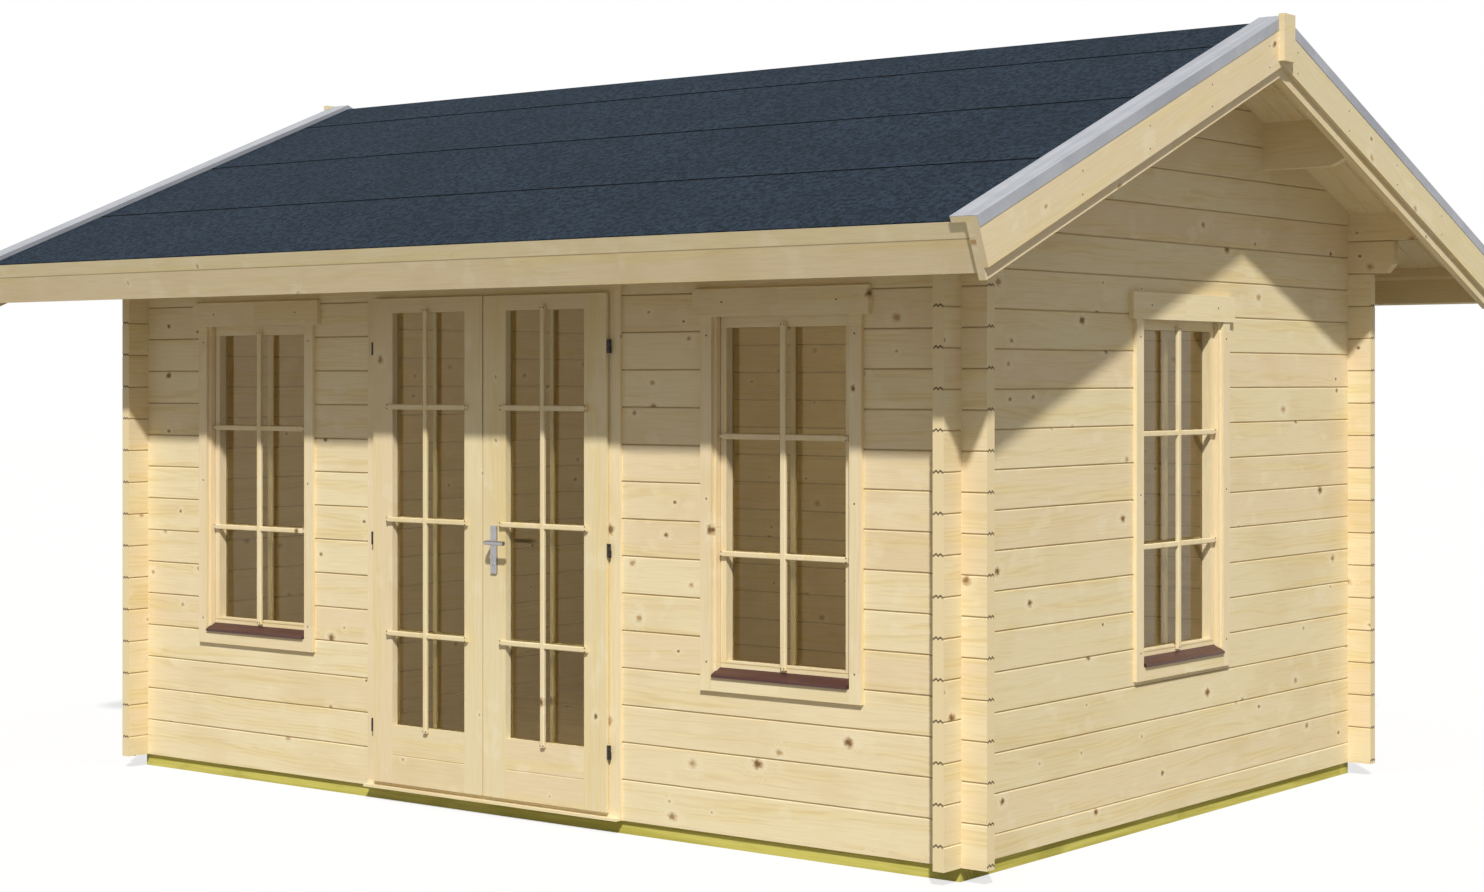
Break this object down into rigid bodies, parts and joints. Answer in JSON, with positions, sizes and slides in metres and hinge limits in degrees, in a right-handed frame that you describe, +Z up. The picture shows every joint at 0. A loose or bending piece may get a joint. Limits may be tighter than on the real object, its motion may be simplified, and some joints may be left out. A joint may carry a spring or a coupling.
{
  "type": "garden house",
  "caption": "Timber garden house of stacked log planks with crossed corners, a glazed double door, tall windows and a low felted gable roof with wide verges.",
  "frame": {"origin": "under the middle of the house, at the underside of the foundation beams", "axes": "+X along the ridge towards the gable with the window, +Y from the door front to the back wall, +Z up"},
  "size_m": [5.088, 3.9764, 2.95],
  "materials": {
    "wall_wood": "planed untreated spruce with knots",
    "gable_wood": "planed untreated spruce with knots",
    "joinery_wood": "planed untreated spruce",
    "trim_wood": "planed untreated spruce",
    "fascia_wood": "planed untreated spruce",
    "verge_wood": "planed untreated spruce",
    "roof_wood": "planed untreated spruce",
    "beam_wood": "planed untreated spruce",
    "floor_wood": "planed floor boards",
    "treated_wood": "green pressure-treated timber",
    "roof_felt": "mineral-faced bitumen felt",
    "flashing": "bare bent sheet",
    "sill": "dark brown",
    "glass": "clear",
    "hinge_metal": "dark zinc",
    "handle_metal": "satin"
  },
  "bodies": {
    "house": {"foundation_beams_long": "treated_wood", "foundation_beams_short": "treated_wood", "floor_joists": "treated_wood", "floor_boards": "floor_wood", "front_wall_left": "wall_wood", "front_wall_right": "wall_wood", "front_wall_over_door": "wall_wood", "back_wall": "wall_wood", "back_wall_top_logs": "wall_wood", "left_gable_wall": "gable_wood", "right_gable_wall": "gable_wood", "ridge_purlin": "beam_wood", "side_purlins": "beam_wood", "roof_boards_front": "roof_wood", "roof_boards_back": "roof_wood", "roof_felt_front": "roof_felt", "roof_felt_back": "roof_felt", "eave_battens": "beam_wood", "fascia_upper_boards": "fascia_wood", "fascia_lower_boards": "fascia_wood", "verge_inner_boards_front": "verge_wood", "verge_inner_boards_back": "verge_wood", "bargeboards_front": "verge_wood", "bargeboards_back": "verge_wood", "verge_caps_front": "verge_wood", "verge_caps_back": "verge_wood", "verge_flashings_front": "flashing", "verge_flashings_back": "flashing", "finial_boards": "verge_wood", "window_casings": "trim_wood", "window_frames": "trim_wood", "window_sashes": "joinery_wood", "window_glass": "glass", "window_sills": "sill", "door_frame": "trim_wood", "door_threshold": "trim_wood", "hinge_pins": "hinge_metal"},
    "left_leaf": {"door_leaf_left": "joinery_wood", "door_glass_left": "glass", "hinge_barrels_left": "hinge_metal"},
    "right_leaf": {"door_leaf_right": "joinery_wood", "door_glass_right": "glass", "hinge_barrels_right": "hinge_metal", "door_handle_plates": "handle_metal"},
    "lever": {"door_lever": "handle_metal"}
  },
  "joints": [
    {"name": "left_leaf_hinge", "type": "hinge", "parent": "house", "child": "left_leaf", "pos_m": [-0.647, -1.4735, 1], "axis": [0, 0, -1], "range_deg": [0, 110]},
    {"name": "right_leaf_hinge", "type": "hinge", "parent": "house", "child": "right_leaf", "pos_m": [0.586, -1.4735, 1], "axis": [0, 0, 1], "range_deg": [0, 110]},
    {"name": "lever_turn", "type": "hinge", "parent": "right_leaf", "child": "lever", "pos_m": [0.0195, -1.46, 1.03], "axis": [0, 1, 0], "range_deg": [0, 40], "stiffness_Nm_per_rad": 1.5, "springref_deg": -17.19}
  ]
}
